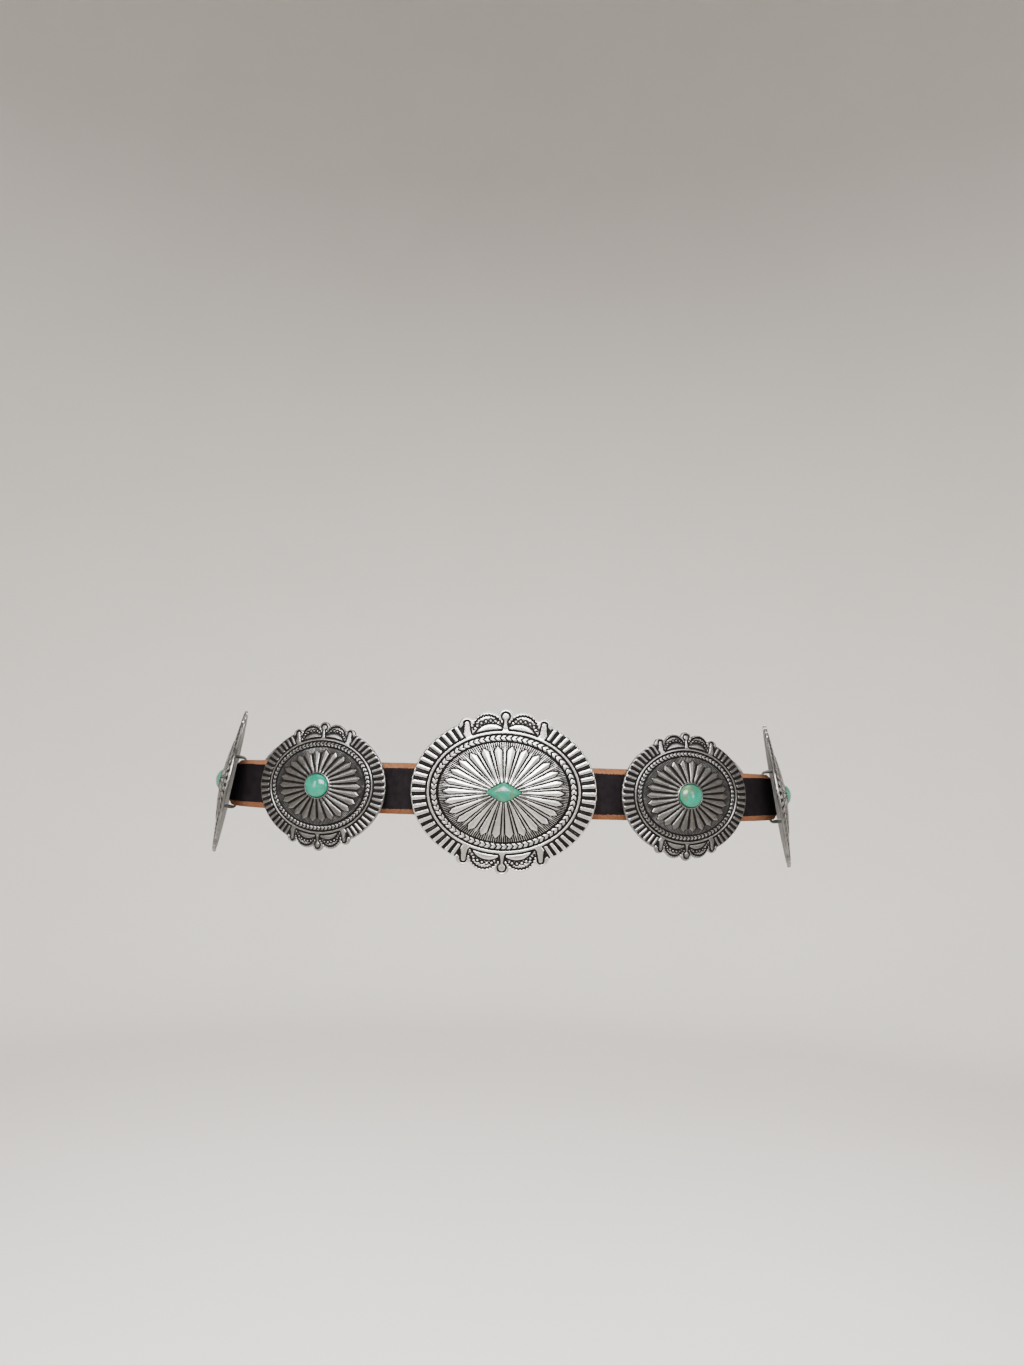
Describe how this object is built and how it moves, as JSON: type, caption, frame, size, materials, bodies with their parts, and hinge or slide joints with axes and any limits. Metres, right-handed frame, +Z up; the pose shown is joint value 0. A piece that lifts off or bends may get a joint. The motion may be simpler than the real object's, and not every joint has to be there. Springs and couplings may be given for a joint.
{
  "type": "concho belt",
  "caption": "Leather waist belt threaded with domed oval cast conchos, large and small in turn, each with a turquoise cabochon; fastened at the back.",
  "frame": {"origin": "middle of the waist loop, at half the strap's height", "axes": "+X to the wearer's left across the waist, -Y out of the front, +Z up"},
  "size_m": [0.3306, 0.2144, 0.08],
  "materials": {
    "leather": "black, with raw tan bevelled edges",
    "silver": "antiqued cast silver",
    "turquoise": "polished turquoise with brown matrix"
  },
  "bodies": {
    "root": {"strap": "leather", "closing_stud": "silver", "concho_left_3": "silver", "concho_left_2": "silver", "concho_left_1": "silver", "concho_front": "silver", "concho_right_1": "silver", "concho_right_2": "silver", "concho_right_3": "silver", "stone_left_3": "turquoise", "stone_left_2": "turquoise", "stone_left_1": "turquoise", "stone_front": "turquoise", "stone_right_1": "turquoise", "stone_right_2": "turquoise", "stone_right_3": "turquoise"}
  },
  "joints": []
}
